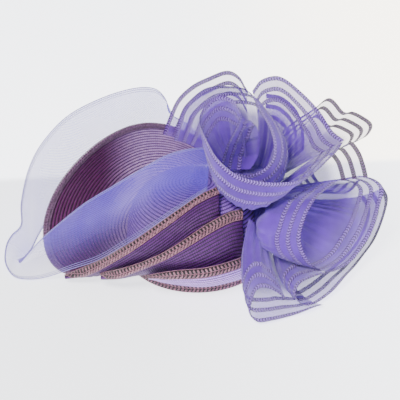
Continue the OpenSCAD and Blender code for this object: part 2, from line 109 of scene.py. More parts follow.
outer_rim = [
    [-24, 60, 95], [-14, 57, 133], [6, 44, 160], [29, 35, 169], [48, 26, 167], [60, 8, 155], [70, -12, 140],
    [72, -25, 125], [62, -36, 117], [47, -39, 112], [36, -35, 112],
]
outer_belly = [
    [4, 38, 96], [10, 44, 114], [26, 40, 132], [46, 36, 138], [64, 30, 136], [78, 18, 130], [87, 0, 117],
    [86, -12, 101], [73, -26, 92], [58, -32, 90], [46, -29, 92],
]
outer_root = [
    [36, 9, 83], [38, 13, 84], [43, 17, 86], [50, 19, 87], [60, 18, 88], [67, 11, 84], [70, 2, 80],
    [68, -8, 78], [62, -14, 79], [54, -16, 82], [48, -12, 84]
]

arch_rim = [
    [-36, 72, 96], [-30, 76, 113], [-20, 76, 135], [-6, 73, 151], [10, 69, 162], [29, 63, 172], [42, 53, 170],
    [50, 43, 160],
]
arch_root = [
    [36, 18, 79], [38, 20, 80], [40, 21, 82], [44, 22, 83], [47, 23, 84], [51, 24, 85], [56, 23, 86],
    [60, 23, 86]
]

top_right_rim = [
    [143, 7, 124], [132, 15, 130], [122, 24, 143], [113, 34, 151], [102, 43, 159], [88, 51, 168],
    [77, 55, 170], [63, 58, 164], [55, 55, 154],
]
top_right_root = [
    [79, 10, 79], [78, 13, 80], [75, 16, 81], [72, 19, 82], [69, 21, 83], [66, 23, 84], [62, 24, 84],
    [59, 24, 85], [57, 25, 84]
]

ripple_rim = [
    [70, 27, 104], [83, 33, 118], [99, 39, 129], [117, 41, 143], [131, 42, 152], [144, 31, 143],
    [153, 36, 141], [163, 31, 138], [171, 21, 134], [166, 11, 127], [155, 8, 122],
]
ripple_root = [
    [71, 27, 76], [72, 26, 75], [74, 25, 74], [76, 24, 73], [77, 23, 73], [79, 21, 72], [80, 19, 72],
    [81, 17, 71], [82, 15, 71], [83, 13, 71], [83, 11, 72]
]

drop_rim = [[146, 17, 112], [150, 4, 124], [157, -5, 118], [161, -12, 109], [164, -20, 99]]
drop_root = [[83, 11, 73], [82, 5, 74], [82, 0, 74], [82, -3, 73], [81, -6, 71]]

loop_rim = [
    [134, -20, 94], [117, -36, 89], [107, -46, 80], [101, -56, 69], [98, -64, 56], [103, -69, 41],
    [115, -70, 26], [132, -61, 17], [151, -46, 17], [166, -31, 27], [175, -20, 38], [184, 0, 54],
    [187, 8, 68],
    [178, 14, 76], [163, 11, 81], [148, 0, 84],
]
loop_belly = [
    [112, -14, 86], [94, -30, 83], [76, -44, 78], [60, -56, 69], [58, -61, 58], [62, -63, 48],
    [74, -60, 40], [90, -54, 35], [110, -41, 35], [126, -24, 44], [132, -12, 53], [134, -2, 60],
    [134, 6, 68], [130, 10, 72], [122, 9, 75], [114, 2, 77]
]
loop_root = [
    [81, -8, 72], [79, -11, 71], [77, -14, 70], [75, -17, 67], [74, -20, 63], [74, -21, 58], [76, -20, 54],
    [79, -17, 51], [82, -13, 51], [84, -8, 53], [85, -3, 56], [86, 2, 60], [86, 6, 64],
    [86, 8, 66], [85, 7, 68], [84, 3, 69],
]

curl_rim = [
    [189, 18, 64], [194, 14, 55], [192, 8, 43], [186, -4, 30], [175, -21, 19], [158, -42, 12],
    [141, -66, 9], [125, -84, 6], [113, -95, 4], [101, -101, 7], [93, -98, 16], [96, -92, 25],
    [108, -85, 28], [124, -77, 26]
]
curl_belly = [
    [146, 12, 54], [148, 4, 44], [144, -6, 34], [136, -16, 25], [127, -28, 18], [117, -40, 13],
    [106, -52, 10], [96, -62, 9], [88, -70, 10], [80, -73, 17], [80, -70, 26], [88, -64, 30],
    [98, -59, 28], [108, -54, 24]
]
curl_root = [
    [85, 9, 59], [85, 5, 56], [83, 1, 53], [81, -4, 50], [82, -14, 46], [82, -18, 43], [80, -24, 40],
    [77, -28, 40], [75, -31, 41], [73, -33, 42], [73, -35, 45], [76, -33, 47], [80, -30, 46], [82, -26, 44]
]

fold_rim = [
    [120, -97, 5], [104, -105, 4], [86, -112, 3], [70, -119, 3], [56, -122, 4], [49, -118, 12],
    [52, -107, 20], [58, -99, 25], [67, -96, 23], [76, -96, 17], [84, -99, 11]
]
fold_belly = [
    [98, -76, 4], [86, -80, 6], [73, -84, 12], [60, -89, 17], [48, -92, 26], [42, -90, 38], [44, -86, 46],
    [52, -82, 46], [60, -79, 42], [66, -77, 37], [72, -76, 32]
]
fold_root = [
    [72, -43, 28], [69, -44, 31], [66, -44, 35], [60, -44, 42], [55, -44, 52], [50, -46, 62],
    [50, -50, 70], [55, -50, 64], [60, -50, 57], [64, -50, 50], [68, -48, 43]
]

CORE_AT, CORE_R = (56, 6, 62), 30
CORE_LOW_AT, CORE_LOW_R = (69, -21, 52), 17

rear_upper_rim = [[70, 66, 146], [88, 74, 138], [104, 78, 120], [112, 74, 98], [112, 66, 80]]
rear_upper_root = [[62, 28, 80], [66, 28, 78], [70, 27, 77], [73, 26, 74], [76, 24, 72]]
rear_lower_rim = [[118, 60, 66], [130, 48, 50], [144, 36, 46], [158, 25, 56], [166, 17, 74]]
rear_lower_root = [[79, 23, 69], [81, 21, 65], [83, 17, 64], [84, 14, 64], [85, 11, 65]]


# ---------------------------------------------------------------- curves and surfaces

def halfway(edge_a, edge_b, push):
    return [[(a + b) / 2 + p for a, b, p in zip(pa, pb, push)] for pa, pb in zip(edge_a, edge_b)]


def along(path, u):
    """Points at u (0 to 1, any shape) on the smooth path through all the points."""
    pts = np.asarray(path, float)
    last = len(pts) - 1
    u = np.clip(np.asarray(u, float), 0, 1)
    span = np.minimum((u * last).astype(int), last - 1)
    t = (u * last - span)[..., None]
    b, c = pts[span], pts[span + 1]
    a = np.where((span > 0)[..., None], pts[np.maximum(span - 1, 0)], 2 * b - c)
    d = np.where((span + 2 <= last)[..., None], pts[np.minimum(span + 2, last)], 2 * c - b)
    return 0.5 * (2 * b + (c - a) * t + (2 * a - 5 * b + 4 * c - d) * t**2 + (3 * b - a - 3 * c + d) * t**3)


def on_sheet(paths, u, v):
    v = np.asarray(v, float)[..., None]
    return (
        along(paths[0], u) * (1 - v) * (1 - 2 * v)
        + along(paths[1], u) * 4 * v * (1 - v)
        + along(paths[2], u) * v * (2 * v - 1)
    )


def unit(a):
    return a / np.maximum(np.linalg.norm(a, axis=-1, keepdims=True), 1e-9)


def path_length(points):
    return np.concatenate([[0], np.cumsum(np.linalg.norm(np.diff(points, axis=0), axis=1))])


def even_u(paths, v, step):
    """Values of u that are step millimetres apart along the sheet at v, and the distance of each."""
    fine = np.linspace(0, 1, 1200)
    run = path_length(on_sheet(paths, fine, np.full_like(fine, v)))
    count = max(int(run[-1] / step), 2)
    s = np.linspace(0, run[-1], count + 1)
    return np.interp(s, run, fine), s


def grid_normals(points):
    du = np.gradient(points, axis=0)
    dv = np.gradient(points, axis=1)
    return unit(np.cross(du, dv))


# ---------------------------------------------------------------- meshes

def make_object(name, verts, faces, uvs=None, smooth=True):
    """Mesh object from arrays in millimetres. faces is (n, 4) or a list, uvs is one pair for each vertex."""
    mesh = bpy.data.meshes.new(name)
    mesh.from_pydata((np.asarray(verts) * MM).tolist(), [], np.asarray(faces).tolist())
    if uvs is not None:
        layer = mesh.uv_layers.new(name="UVMap")
        corner = np.zeros(len(mesh.loops), np.int32)
        mesh.loops.foreach_get("vertex_index", corner)
        layer.data.foreach_set("uv", np.asarray(uvs, np.float32)[corner].ravel())
    if smooth:
        mesh.polygons.foreach_set("use_smooth", np.ones(len(mesh.polygons), bool))
    mesh.update()
    obj = bpy.data.objects.new(name, mesh)
    bpy.context.scene.collection.objects.link(obj)
    return obj


def grid_faces(rows, cols, start=0, flip=False):
    i, j = np.meshgrid(np.arange(rows - 1), np.arange(cols - 1), indexing="ij")
    a = (start + i * cols + j).ravel()
    quads = np.stack([a, a + 1, a + cols + 1, a + cols], 1)
    return quads[:, ::-1] if flip else quads


def make_grid(name, points, uv):
    rows, cols = points.shape[:2]
    return make_object(name, points.reshape(-1, 3), grid_faces(rows, cols), uv.reshape(-1, 2))


def shell_grid(name, outer, inner, uv):
    """Closed skin: an outer grid, an inner grid, and the four narrow walls between them."""
    rows, cols = outer.shape[:2]
    size = rows * cols
    verts = np.concatenate([outer.reshape(-1, 3), inner.reshape(-1, 3)])
    faces = [grid_faces(rows, cols), grid_faces(rows, cols, size, flip=True)]
    ring = np.concatenate([
        np.arange(cols), np.arange(1, rows) * cols + cols - 1,
        (rows - 1) * cols + np.arange(cols - 2, -1, -1), np.arange(rows - 2, 0, -1) * cols,
    ])
    nxt = np.roll(ring, -1)
    faces.append(np.stack([ring, ring + size, nxt + size, nxt], 1))
    return make_object(name, verts, np.concatenate(faces), np.concatenate([uv.reshape(-1, 2)] * 2))


class Bundle:
    """Many tubes gathered into one mesh."""

    def __init__(self):
        self.verts, self.faces, self.uvs, self.count = [], [], [], 0

    def tube(self, centre, up, wide, tall, sides=6, closed=False, size=None):
        """Tube along centre (n, 3). up is its short axis, wide and tall are its half sizes,
        and size is a share of them for each point."""
        n = len(centre)
        if closed:
            tangent = np.roll(centre, -1, 0) - np.roll(centre, 1, 0)
        else:
            tangent = np.gradient(centre, axis=0)
        side = unit(np.cross(unit(tangent), up))
        top = unit(np.cross(side, unit(tangent)))
        a = 2 * np.pi * np.arange(sides) / sides
        size = np.ones(n) if size is None else size
        ring = (
            centre[:, None]
            + side[:, None] * (wide * np.cos(a))[None, :, None] * size[:, None, None]
            + top[:, None] * (tall * np.sin(a))[None, :, None] * size[:, None, None]
        )
        run = path_length(centre)
        uv = np.stack(np.broadcast_arrays(run[:, None] * MM, (a / (2 * np.pi))[None]), -1)
        rows = n if closed else n - 1
        i, j = np.meshgrid(np.arange(rows), np.arange(sides), indexing="ij")
        i2, j2 = (i + 1) % n, (j + 1) % sides
        quads = np.stack([i * sides + j, i * sides + j2, i2 * sides + j2, i2 * sides + j], -1).reshape(-1, 4)
        self.verts.append(ring.reshape(-1, 3))
        self.uvs.append(uv.reshape(-1, 2))
        self.faces += (quads + self.count).tolist()
        if not closed:
            self.faces.append((self.count + np.arange(sides)[::-1]).tolist())
            self.faces.append((self.count + (n - 1) * sides + np.arange(sides)).tolist())
        self.count += n * sides

    def build(self, name):
        mesh = bpy.data.meshes.new(name)
        verts, uvs = np.concatenate(self.verts), np.concatenate(self.uvs)
        mesh.from_pydata((verts * MM).tolist(), [], self.faces)
        layer = mesh.uv_layers.new(name="UVMap")
        corner = np.zeros(len(mesh.loops), np.int32)
        mesh.loops.foreach_get("vertex_index", corner)
        layer.data.foreach_set("uv", uvs[corner].astype(np.float32).ravel())
        mesh.polygons.foreach_set("use_smooth", np.ones(len(mesh.polygons), bool))
        mesh.update()
        obj = bpy.data.objects.new(name, mesh)
        bpy.context.scene.collection.objects.link(obj)
        return obj


# ---------------------------------------------------------------- material building blocks

class Nodes:
    """A short way to write a node tree: sockets are joined by passing them as arguments."""

    def __init__(self, name):
        self.material = bpy.data.materials.new(name)
        self.material.use_nodes = True
        self.tree = self.material.node_tree
        self.tree.nodes.clear()
        self.output = self.tree.nodes.new("ShaderNodeOutputMaterial")

    def put(self, socket, value):
        if isinstance(value, bpy.types.NodeSocket):
            self.tree.links.new(value, socket)
        else:
            socket.default_value = value

    def node(self, kind, **inputs):
        node = self.tree.nodes.new(kind)
        for key, value in inputs.items():
            self.put(node.inputs[key.replace("_", " ")], value)
        return node

    def math(self, operation, a, b=0.0, c=0.0):
        node = self.tree.nodes.new("ShaderNodeMath")
        node.operation = operation
        for socket, value in zip(node.inputs, (a, b, c)):
            self.put(socket, value)
        return node.outputs[0]

    def uv(self):
        split = self.node("ShaderNodeSeparateXYZ", Vector=self.tree.nodes.new("ShaderNodeUVMap").outputs[0])
        return split.outputs[0], split.outputs[1]

    def place(self):
        where = self.tree.nodes.new("ShaderNodeTexCoord").outputs["Object"]
        return self.node("ShaderNodeSeparateXYZ", Vector=where).outputs

    def mix(self, share, a, b):
        node = self.tree.nodes.new("ShaderNodeMix")
        node.data_type = "RGBA"
        self.put(node.inputs[0], share)
        self.put(node.inputs[6], a)
        self.put(node.inputs[7], b)
        return node.outputs[2]

    def ramp(self, value, low, high, out_low=0.0, out_high=1.0):
        node = self.tree.nodes.new("ShaderNodeMapRange")
        node.interpolation_type = "SMOOTHSTEP"
        for socket, v in zip(node.inputs, (value, low, high, out_low, out_high)):
            self.put(socket, v)
        return node.outputs[0]

    def noise(self, scale, detail=2.0, where="Object", roughness=0.5):
        coords = self.tree.nodes.new("ShaderNodeTexCoord").outputs[where]
        node = self.node("ShaderNodeTexNoise", Vector=coords, Scale=scale, Detail=detail, Roughness=roughness)
        return node.outputs[0]

    def bump(self, height, strength, distance):
        return self.node("ShaderNodeBump", Height=height, Strength=strength, Distance=distance).outputs[0]

    def finish(self, shader):
        self.tree.links.new(shader, self.output.inputs[0])
        return self.material


def rgb(r, g, b, a=1.0):
    """Colour from display values 0 to 255."""
    return tuple(((c / 255) / 12.92 if c / 255 <= 0.04045 else ((c / 255 + 0.055) / 1.055) ** 2.4)
                 for c in (r, g, b)) + (a,)


# ---------------------------------------------------------------- materials

STRIPES_MM = (0.0, 4.5), (10.5, 15.0), (21.0, 25.5)
ROW_MM = 3.5
PLAIT_MM = 2.1


def principled(n, normal=None, **inputs):
    node = n.tree.nodes.new("ShaderNodeBsdfPrincipled")
    for key, value in inputs.items():
        n.put(node.inputs[key.replace("_", " ")], value)
    if normal is not None:
        n.put(node.inputs["Normal"], normal)
    return n.finish(node.outputs[0])


def band(n, distance, low, high, soft=0.00025):
    """1 where distance lies between low and high, in metres."""
    rise = n.ramp(distance, low - soft, low + soft)
    fall = n.ramp(distance, high - soft, high + soft)
    return n.math("SUBTRACT", rise, fall)


def chevron(n, run, across, pitch, slant):
    """Plait pattern from -1 to 1: across is 0 to 1 over the width of the plait."""
    fold = n.math("ABSOLUTE", n.math("SUBTRACT", across, 0.5))
    phase = n.math("ADD", n.math("DIVIDE", run, pitch), n.math("MULTIPLY", fold, slant))
    return n.math("SINE", n.math("MULTIPLY", phase, 2 * math.pi))


def organza(name, sheer, stripe, dark, alpha_near=0.72, alpha_far=0.92, shade_span=None):
    """Sheer ribbon with three woven satin stripes beside its edge. UV y is the distance from that edge.
    The last argument gives the two places in x between which painted shade turns the stripes dark."""
    n = Nodes(name)
    run, edge = n.uv()
    mask = 0.0
    plait = 0.0
    border = 0.0
    for low, high in STRIPES_MM:
        here = band(n, edge, low * MM - (0.001 if low == 0 else 0), high * MM)
        across = n.math("DIVIDE", n.math("SUBTRACT", edge, low * MM), (high - low) * MM)
        mask = n.math("ADD", mask, here)
        plait = n.math("ADD", plait, n.math("MULTIPLY", here, chevron(n, run, across, 0.0028, 1.0)))
        rim = n.ramp(n.math("ABSOLUTE", n.math("SUBTRACT", across, 0.5)), 0.3, 0.5)
        border = n.math("ADD", border, n.math("MULTIPLY", here, rim))
    threads = n.math("MULTIPLY", n.math("SINE", n.math("MULTIPLY", run, 2 * math.pi / 0.0009)),
                     n.math("SINE", n.math("MULTIPLY", edge, 2 * math.pi / 0.0009)))
    shade = n.ramp(n.noise(38.0, 3.0), 0.3, 0.7)
    base = n.mix(shade, rgb(*[c * 0.9 for c in sheer]), rgb(*[min(c * 1.08, 255) for c in sheer]))
    satin = n.mix(n.ramp(n.math("ADD", plait, n.noise(420.0)), -0.6, 1.4), rgb(*dark), rgb(*stripe))
    satin = n.mix(n.math("MULTIPLY", border, 0.85), satin, rgb(*dark))
    # Painted shade: the stripes darken along x.
    if shade_span:
        satin = n.mix(n.math("MULTIPLY", n.ramp(n.place()[0], *shade_span), 0.8), satin, rgb(*dark))
    sheer_alpha = n.ramp(edge, 0.0255, 0.04, alpha_near, alpha_far)
    alpha = n.math("ADD", sheer_alpha, n.math("MULTIPLY", mask, n.math("SUBTRACT", 0.97, sheer_alpha)))
    alpha = n.math("ADD", alpha, n.math("MULTIPLY", threads, 0.05))
    height = n.math("ADD", n.math("MULTIPLY", plait, 0.8), n.math("MULTIPLY", threads, 0.25))
    return principled(
        n, n.bump(height, 1.0, 0.0007), Base_Color=n.mix(mask, base, satin), Alpha=alpha,
        Roughness=n.ramp(mask, 0, 1, 0.42, 0.3), Specular_IOR_Level=0.5,
        Sheen_Weight=0.35, Sheen_Roughness=0.4,
    )


def crin():
    """Very sheer horsehair mesh of crossed threads with a firmer selvage. UV is in metres."""
    n = Nodes("crin")
    run, edge = n.uv()
    weave = 0.0
    for slope in (1.0, -1.0):
        diagonal = n.math("ADD", run, n.math("MULTIPLY", edge, slope))
        weave = n.math("MAXIMUM", weave, n.math("SINE", n.math("MULTIPLY", diagonal, 2 * math.pi / 0.0022)))
    lines = n.ramp(weave, 0.2, 0.9)
    shade = n.ramp(n.noise(14.0, 3.0), 0.35, 0.7)
    # Painted shade: the crin is darker in front, where it lies over the shaded straw.
    behind = n.ramp(n.place()[1], -0.05, -0.01)
    front_shaded_base = n.mix(shade, rgb(62, 34, 116), rgb(102, 68, 160))
    base = n.mix(behind, front_shaded_base, n.mix(shade, rgb(104, 78, 240), rgb(150, 128, 255)))
    thread = n.math("ADD", 0.42, n.math("MULTIPLY", lines, 0.3))
    alpha = n.math("MULTIPLY", thread, n.math("ADD", 0.6, n.math("MULTIPLY", behind, 0.4)))
    return principled(
        n, n.bump(lines, 0.5, 0.0002), Base_Color=base, Alpha=alpha, Roughness=0.28,
        Specular_IOR_Level=0.6, Sheen_Weight=0.2,
    )


def straw(name, dark, light, shine=0.4, painted_sheen=None):
    """Rows of plaited straw. UV x runs along a row and UV y across the rows, in metres.
    The last argument gives a second, lighter pair of colours, a painted sheen, and the two places in x
    between which the colour changes to it."""
    n = Nodes(name)
    run, across = n.uv()
    rows = n.math("DIVIDE", across, ROW_MM * MM)
    inside = n.math("FRACT", rows)
    shift = n.math("MULTIPLY", n.math("FLOOR", rows), 0.37 * PLAIT_MM * MM)
    plait = chevron(n, n.math("ADD", run, shift), inside, PLAIT_MM * MM, 0.8)
    valley = n.ramp(n.math("ABSOLUTE", n.math("SUBTRACT", inside, 0.5)), 0.2, 0.5)
    streak = n.ramp(n.noise(260.0, 2.0), 0.35, 0.7)
    low, high = rgb(*dark), rgb(*light)
    if painted_sheen:
        # Painted sheen: the colours change to the lighter pair along x.
        sheen_share = n.ramp(n.place()[0], painted_sheen[2], painted_sheen[3])
        low, high = n.mix(sheen_share, low, rgb(*painted_sheen[0])), n.mix(sheen_share, high, rgb(*painted_sheen[1]))
    strand = n.math("MULTIPLY", n.ramp(plait, -0.8, 0.8), 0.4)
    light_share = n.math("ADD", strand, n.math("MULTIPLY", streak, 0.25))
    # Painted highlight on the crest of each row.
    crest_highlight = n.math("MULTIPLY", n.math("SUBTRACT", 1.0, valley), 0.35)
    base = n.mix(n.math("ADD", light_share, crest_highlight), low, high)
    # Painted shade in the valleys between the rows.
    base = n.mix(n.math("MULTIPLY", valley, 0.85), base, rgb(*[c * 0.3 for c in dark]))
    height = n.math("SUBTRACT", n.math("MULTIPLY", plait, 0.5), valley)
    return principled(
        n, n.bump(height, 0.9, 0.0005), Base_Color=base, Roughness=shine, Specular_IOR_Level=0.45,
        Coat_Weight=0.12, Coat_Roughness=0.25,
    )


def yarn(name, dark, light, pitch=0.0007, rough=0.45):
    """Twisted yarn for tubes whose UV x runs along them in metres and UV y goes once round."""
    n = Nodes(name)
    run, turn = n.uv()
    twist = n.math("SINE", n.math("MULTIPLY", n.math("ADD", n.math("DIVIDE", run, pitch), turn), 2 * math.pi))
    streak = n.ramp(n.noise(420.0, 2.0), 0.3, 0.7)
    light_share = n.math("MULTIPLY", n.math("ADD", n.ramp(twist, -1, 1), streak), 0.5)
    base = n.mix(light_share, rgb(*dark), rgb(*light))
    return principled(
        n, n.bump(twist, 0.6, 0.0002), Base_Color=base, Roughness=rough, Specular_IOR_Level=0.5,
        Sheen_Weight=0.3,
    )


def woven(name, dark, light, pitch, rough=0.7):
    """Plain weave on a solid, from its own coordinates."""
    n = Nodes(name)
    x, y, z = n.place()
    around = n.math("MULTIPLY", n.math("ARCTAN2", y, x), 0.068)
    ribs = n.math("SINE", n.math("MULTIPLY", around, 2 * math.pi / pitch))
    cross = n.math("SINE", n.math("MULTIPLY", z, 2 * math.pi / (pitch * 0.8)))
    height = n.math("ADD", ribs, n.math("MULTIPLY", cross, 0.4))
    base = n.mix(n.ramp(n.math("ADD", height, n.noise(300.0)), -1.0, 2.0), rgb(*dark), rgb(*light))
    return principled(n, n.bump(height, 0.6, 0.0003), Base_Color=base, Roughness=rough, Sheen_Weight=0.3)


def moulded(name, colour, alpha, rough):
    n = Nodes(name)
    flow = n.noise(90.0, 3.0)
    base = n.mix(n.ramp(flow, 0.3, 0.7), rgb(*[c * 0.95 for c in colour]), rgb(*colour))
    return principled(
        n, n.bump(flow, 0.15, 0.0004), Base_Color=base, Roughness=rough, Alpha=alpha, IOR=1.49,
        Coat_Weight=0.4, Coat_Roughness=0.08,
    )


def sheet_steel(name, colour, rough):
    n = Nodes(name)
    x, y, z = n.place()
    stretched = n.node("ShaderNodeCombineXYZ", X=n.math("MULTIPLY", x, 60.0), Y=n.math("MULTIPLY", y, 900.0),
                       Z=n.math("MULTIPLY", z, 2600.0)).outputs[0]
    grain = n.node("ShaderNodeTexNoise", Vector=stretched, Scale=1.0, Detail=3.0).outputs[0]
    return principled(
        n, n.bump(grain, 0.2, 0.0001), Base_Color=rgb(*colour), Metallic=1.0,
        Roughness=n.ramp(grain, 0.2, 0.8, rough - 0.08, rough + 0.08),
    )


ORGANZA = organza("organza", (116, 56, 210), (176, 128, 255), (54, 6, 104))
# Painted shade: the next three are darker copies of the one organza, for leaves that lie in shade; two of
# them are also more sheer.
ORGANZA_ARCH_SHADED = organza("organza_arch_shaded", (116, 56, 210), (152, 96, 222), (50, 8, 84), 0.5, 0.84)
ORGANZA_TURN_SHADED = organza("organza_turn_shaded", (116, 56, 210), (176, 128, 255), (42, 4, 78), shade_span=(0.125, 0.165))
ORGANZA_SHADED = organza("organza_shaded", (104, 60, 190), (104, 56, 128), (22, 2, 40), 0.46, 0.8)
CORE = organza("core_cover", (108, 56, 200), (198, 148, 240), (70, 22, 126), 1.0, 1.0)
CRIN = crin()
STRAW_PLUM = straw("straw_plum", (18, 0, 40), (108, 40, 134))
# Painted sheen: the brim's colours turn to light lilac towards the top right, where light falls on it.
STRAW_BRIM = straw(
    "straw_brim", (40, 2, 48), (124, 46, 114), 0.34, ((120, 66, 176), (252, 206, 255), -0.105, -0.055))
STRAW_LILAC = straw("straw_lilac", (88, 28, 186), (196, 138, 250), 0.3)
# Painted light: a paler copy of the straw for the lower pleat, which bulges out into the light.
STRAW_PALE_LIT = straw("straw_pale_lit", (118, 60, 196), (218, 164, 250), 0.3)
BRAID = yarn("braid", (62, 18, 44), (212, 142, 166))
BINDING = yarn("binding", (50, 24, 50), (158, 112, 156))
# Painted shade: the tape under the braid is near-black, for the shade in the gaps between the stitches.
TAPE_SHADE = yarn("braid_tape_shade", (8, 2, 8), (22, 8, 20))
SELVAGE = yarn("selvage", (132, 118, 214), (186, 176, 246), 0.0006)
THREAD = yarn("thread", (96, 72, 128), (150, 120, 176), 0.0005)
GROSGRAIN = woven("grosgrain", (92, 70, 120), (142, 116, 170), 0.0016)
CLEAR = moulded("comb_plastic", (224, 224, 234), 0.55, 0.18)
STEEL = sheet_steel("clip_steel", (196, 196, 202), 0.32)
WIRE = sheet_steel("wire", (150, 150, 156), 0.4)


def dress(obj, material, replaced=(), body=BODY):
    obj.data.materials.clear()
    obj.data.materials.append(material)
    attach(obj, body)
    if replaced:
        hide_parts(*replaced)
    return obj


# ---------------------------------------------------------------- sheets by distance from their first edge

def by_distance(paths, u, near, far_cells):
    """Points at the near distances (mm) from the first path, then evenly to the last path.
    Their distances come second."""
    fine = np.linspace(0, 1, 90)
    uu, vv = np.meshgrid(u, fine, indexing="ij")
    pts = on_sheet(paths, uu, vv)
    steps = np.linalg.norm(np.diff(pts, axis=1), axis=2)
    run = np.concatenate([np.zeros((len(u), 1)), np.cumsum(steps, 1)], 1)
    dist = []
    for total in run[:, -1]:
        first = near * min(1.0, 0.8 * total / near[-1]) if near[-1] > 0 else near
        dist.append(np.concatenate([first, np.linspace(first[-1], total, far_cells + 1)[1:]]))
    dist = np.array(dist)
    v = np.array([np.interp(d, r, fine) for d, r in zip(dist, run)])
    return on_sheet(paths, np.broadcast_to(u[:, None], v.shape), v), dist


def ribbon(name, paths, material, seed, replaced, wave=1.2, fullness=13.0):
    """One length of striped ribbon: fine soft folds run out of its gathered root and die towards its edge."""
    u, run = even_u(paths, 0.0, 1.5)
    near = np.arange(0, 27.5, 0.75)
    points, dist = by_distance(paths, u, near, 26)
    depth = dist / dist[:, -1:]
    run = run[:, None]
    drift = 1.4 * np.sin(run / 31 + seed) + 0.9 * np.sin(run / 17 + 2.1 * seed)
    turn = 2 * np.pi * run / fullness
    folds = np.sin(turn + drift) + 0.5 * np.sin(turn / 0.61 - drift)
    swell = np.clip((depth - 0.16) / 0.5, 0, 1) ** 1.3 * (1 - 0.75 * depth**2)
    flutter = 0.7 * np.sin(2 * np.pi * run / 47 + seed) * (1 - depth) ** 2
    raised = sum(0.35 * ((dist > low) & (dist < high)) for low, high in STRIPES_MM)
    ends = np.clip(np.minimum(run, run[-1] - run) / 6, 0, 1)
    points = points + grid_normals(points) * ((wave * folds * swell + flutter) * ends + raised)[..., None]
    uv = np.stack([np.broadcast_to(run, dist.shape), dist], -1) * MM
    piece = dress(make_grid(name, points, uv), material, replaced)
    length, width = float(run[-1, 0]) * MM, float(dist[:, -1].max()) * MM
    return piece, points, length, width


def straw_relief(dist, depth=0.55):
    return depth * np.abs(np.sin(np.pi * dist / ROW_MM)) ** 0.55


def straw_sheet(name, paths, thick, material, replaced, step=1.6):
    """Sewn straw sheet whose rows follow its first edge, ridged on both faces."""
    u, run = even_u(paths, 0.0, step)
    wide = by_distance(paths, u[:: max(len(u) // 12, 1)], np.zeros(1), 1)[1].max()
    points, dist = by_distance(paths, u, np.zeros(1), int(wide / 0.55))
    normal = grid_normals(points)
    half = (thick / 2 - 0.45 + straw_relief(dist))[..., None]
    uv = np.stack([np.broadcast_to(run[:, None], dist.shape), dist], -1) * MM
    shell = shell_grid(name, points - normal * half, points + normal * half, uv)
    return dress(shell, material, replaced)


# ---------------------------------------------------------------- crown

def dome_profile(r, h, step):
    """Outline of the dome from the top to the hem, evenly spaced, with its outward direction and run."""
    a = np.radians(np.linspace(90, 0, 900))
    pts = np.stack([r * np.cos(a) ** (2 / FULLNESS), h * np.sin(a) ** (2 / FULLNESS)], 1)
    pts[0, 0] = 0.05
    run = path_length(pts)
    s = np.linspace(0, run[-1], int(run[-1] / step))
    line = np.stack([np.interp(s, run, pts[:, 0]), np.interp(s, run, pts[:, 1])], 1)
    t = unit(np.gradient(line, axis=0))
    return line, np.stack([-t[:, 1], t[:, 0]], 1), s


def build_crown():
    line, out, s = dome_profile(CROWN_R, CROWN_H, 0.55)
    angle = np.linspace(0, 2 * np.pi, 241)
    ridge = straw_relief(s) - 0.55
    rows = np.floor(s / ROW_MM)
    row_r = np.interp((rows + 0.5) * ROW_MM, s, line[:, 0])

    def lathe(offset):
        r = line[:, 0] + out[:, 0] * offset
        z = np.maximum(line[:, 1] + out[:, 1] * offset, 0)
        z = np.broadcast_to(z, (len(angle), len(z)))
        return np.stack([r * np.cos(angle)[:, None], r * np.sin(angle)[:, None], z], -1)

    uv = np.stack([angle[:, None] * row_r, np.broadcast_to(s, (241, len(s)))], -1) * MM
    shell = shell_grid("crown_straw", lathe(ridge)[::-1], lathe(ridge * 0.6 - STRAW_T + 0.2)[::-1], uv[::-1])
    return dress(shell, STRAW_LILAC, ["crown_shell"])


# ---------------------------------------------------------------- brim

def brim_paths():
    last = len(brim_edge) - 1
    foot_r = CROWN_R + PLEAT_T / 2 + GAP
    turn = np.radians(np.linspace(BRIM_FOOT_START, BRIM_FOOT_END, last + 1))
    foot = np.stack([foot_r * np.cos(turn), foot_r * np.sin(turn), np.full(last + 1, BRIM_FOOT_Z)], 1)
    edge = np.array(brim_edge, float)
    middle = (edge + foot) / 2
    sag = 0.2 * edge[:, 2:]
    out = unit(middle * [1, 1, 0])
    drop = np.minimum(sag[:, 0], middle[:, 2] - 3)
    belly = middle + out * sag - np.stack([0 * drop, 0 * drop, drop], 1)
    return [edge, belly, foot]


